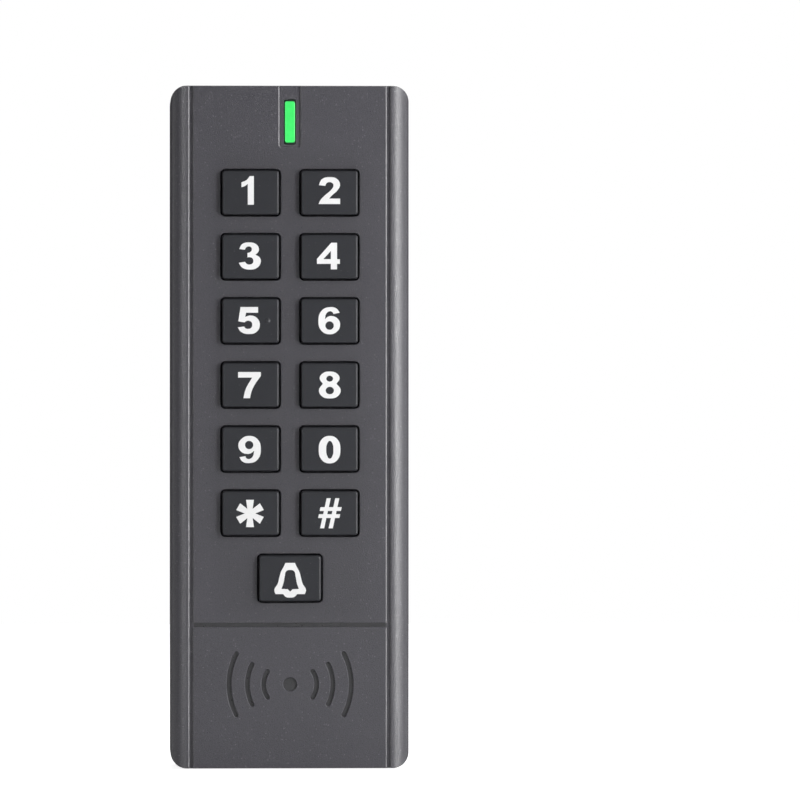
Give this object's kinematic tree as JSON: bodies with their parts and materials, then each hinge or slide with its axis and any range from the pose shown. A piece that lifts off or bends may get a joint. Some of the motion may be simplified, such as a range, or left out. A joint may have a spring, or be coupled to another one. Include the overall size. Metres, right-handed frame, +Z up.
{
  "type": "keypad access reader",
  "caption": "Slim wall-mounted keypad and card reader: two columns of push keys, a bell key, a status light bar, a card panel, a battery bay and a hook-on wall plate.",
  "frame": {"origin": "middle of the wall plate's back face, which lies on the wall", "axes": "+Z up along the length, +X to the right of someone facing the reader, +Y into the wall; the keys face -Y"},
  "size_m": [0.0454, 0.0226, 0.13],
  "materials": {
    "housing_plastic": "fine speckled satin",
    "key_plastic": "satin, with a white printed legend",
    "black_plastic": "fine moulded texture",
    "green_lens": "polished, lit from behind",
    "clear_plastic": "polished",
    "silicone": "matte, slightly translucent",
    "board_laminate": "solder mask",
    "gold_plating": "polished",
    "led_body": "clear resin",
    "chip_black": "moulded",
    "tinned_steel": "bright",
    "component_ceramic": "matte",
    "zinc_steel": "zinc plated",
    "coil_copper": "enamelled copper",
    "amber_film": "polyimide film",
    "seal_rubber": "matte",
    "foam": "closed-cell foam",
    "cell_can": "printed sleeve",
    "nickel": "nickel plated",
    "white_plastic": "moulded nylon",
    "red_insulation": "satin",
    "black_insulation": "satin",
    "plate_steel": "galvanised"
  },
  "bodies": {
    "housing": {"antenna_coil": "coil_copper", "antenna_tail": "amber_film", "backlight_leds": "led_body", "battery_cells": "cell_can", "battery_door": "black_plastic", "board_parts": "component_ceramic", "board_screws": "zinc_steel", "buzzer": "chip_black", "cell_pad": "foam", "contact_pads": "gold_plating", "contact_plates": "nickel", "contact_springs": "nickel", "controller_chip": "chip_black", "cover_screws": "zinc_steel", "cover_seal": "seal_rubber", "door_screw": "zinc_steel", "door_seal": "seal_rubber", "front_cover": "housing_plastic", "indicator_lens": "green_lens", "key_mat": "silicone", "lead_minus": "black_insulation", "lead_plug": "white_plastic", "lead_plus": "red_insulation", "lead_socket": "white_plastic", "main_board": "board_laminate", "radio_module": "board_laminate", "radio_shield": "tinned_steel", "reader_chip": "chip_black", "rear_cover": "black_plastic", "security_screw": "zinc_steel", "status_led": "led_body", "tamper_sensor": "chip_black", "tamper_window": "clear_plastic", "wall_plate": "plate_steel"},
    "key_1": {"key_1": "key_plastic"},
    "key_2": {"key_2": "key_plastic"},
    "key_3": {"key_3": "key_plastic"},
    "key_4": {"key_4": "key_plastic"},
    "key_5": {"key_5": "key_plastic"},
    "key_6": {"key_6": "key_plastic"},
    "key_7": {"key_7": "key_plastic"},
    "key_8": {"key_8": "key_plastic"},
    "key_9": {"key_9": "key_plastic"},
    "key_0": {"key_0": "key_plastic"},
    "key_star": {"key_star": "key_plastic"},
    "key_hash": {"key_hash": "key_plastic"},
    "key_bell": {"key_bell": "key_plastic"}
  },
  "joints": [
    {"name": "press_1", "type": "slide", "parent": "housing", "child": "key_1", "axis": [0, 1, 0], "range_m": [0, 0.0008], "stiffness_N_per_m": 1000, "springref_m": -0.0005, "deforming": ["key_mat"]},
    {"name": "press_2", "type": "slide", "parent": "housing", "child": "key_2", "axis": [0, 1, 0], "range_m": [0, 0.0008], "stiffness_N_per_m": 1000, "springref_m": -0.0005, "deforming": ["key_mat"]},
    {"name": "press_3", "type": "slide", "parent": "housing", "child": "key_3", "axis": [0, 1, 0], "range_m": [0, 0.0008], "stiffness_N_per_m": 1000, "springref_m": -0.0005, "deforming": ["key_mat"]},
    {"name": "press_4", "type": "slide", "parent": "housing", "child": "key_4", "axis": [0, 1, 0], "range_m": [0, 0.0008], "stiffness_N_per_m": 1000, "springref_m": -0.0005, "deforming": ["key_mat"]},
    {"name": "press_5", "type": "slide", "parent": "housing", "child": "key_5", "axis": [0, 1, 0], "range_m": [0, 0.0008], "stiffness_N_per_m": 1000, "springref_m": -0.0005, "deforming": ["key_mat"]},
    {"name": "press_6", "type": "slide", "parent": "housing", "child": "key_6", "axis": [0, 1, 0], "range_m": [0, 0.0008], "stiffness_N_per_m": 1000, "springref_m": -0.0005, "deforming": ["key_mat"]},
    {"name": "press_7", "type": "slide", "parent": "housing", "child": "key_7", "axis": [0, 1, 0], "range_m": [0, 0.0008], "stiffness_N_per_m": 1000, "springref_m": -0.0005, "deforming": ["key_mat"]},
    {"name": "press_8", "type": "slide", "parent": "housing", "child": "key_8", "axis": [0, 1, 0], "range_m": [0, 0.0008], "stiffness_N_per_m": 1000, "springref_m": -0.0005, "deforming": ["key_mat"]},
    {"name": "press_9", "type": "slide", "parent": "housing", "child": "key_9", "axis": [0, 1, 0], "range_m": [0, 0.0008], "stiffness_N_per_m": 1000, "springref_m": -0.0005, "deforming": ["key_mat"]},
    {"name": "press_0", "type": "slide", "parent": "housing", "child": "key_0", "axis": [0, 1, 0], "range_m": [0, 0.0008], "stiffness_N_per_m": 1000, "springref_m": -0.0005, "deforming": ["key_mat"]},
    {"name": "press_star", "type": "slide", "parent": "housing", "child": "key_star", "axis": [0, 1, 0], "range_m": [0, 0.0008], "stiffness_N_per_m": 1000, "springref_m": -0.0005, "deforming": ["key_mat"]},
    {"name": "press_hash", "type": "slide", "parent": "housing", "child": "key_hash", "axis": [0, 1, 0], "range_m": [0, 0.0008], "stiffness_N_per_m": 1000, "springref_m": -0.0005, "deforming": ["key_mat"]},
    {"name": "press_bell", "type": "slide", "parent": "housing", "child": "key_bell", "axis": [0, 1, 0], "range_m": [0, 0.0008], "stiffness_N_per_m": 1000, "springref_m": -0.0005, "deforming": ["key_mat"]}
  ]
}
